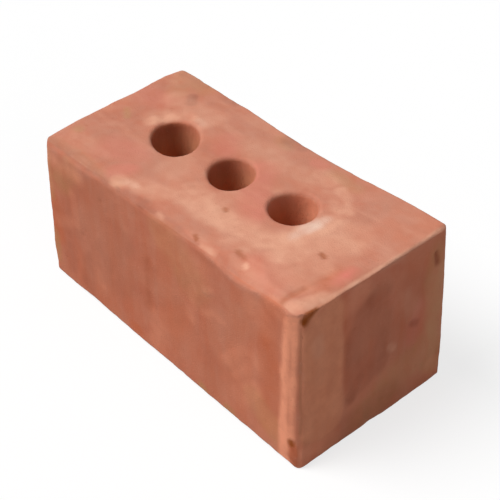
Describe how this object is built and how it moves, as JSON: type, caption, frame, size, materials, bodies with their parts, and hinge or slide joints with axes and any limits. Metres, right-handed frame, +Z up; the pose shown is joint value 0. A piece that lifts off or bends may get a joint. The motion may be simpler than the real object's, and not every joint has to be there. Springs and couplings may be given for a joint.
{
  "type": "cored clay brick",
  "caption": "Rectangular fired clay building brick with a row of round cores running from bed to bed and soft, worn arrises. It is laid in mortar on its flat beds.",
  "frame": {"origin": "middle of the lower bed, which is the face the brick stands on", "axes": "+X along the brick's length, +Y across its width towards the hollow long face, +Z up along the cores"},
  "size_m": [0.1898, 0.0899, 0.087],
  "materials": {
    "fired_clay": "matte"
  },
  "bodies": {
    "root": {"brick_body": "fired_clay"}
  },
  "joints": []
}
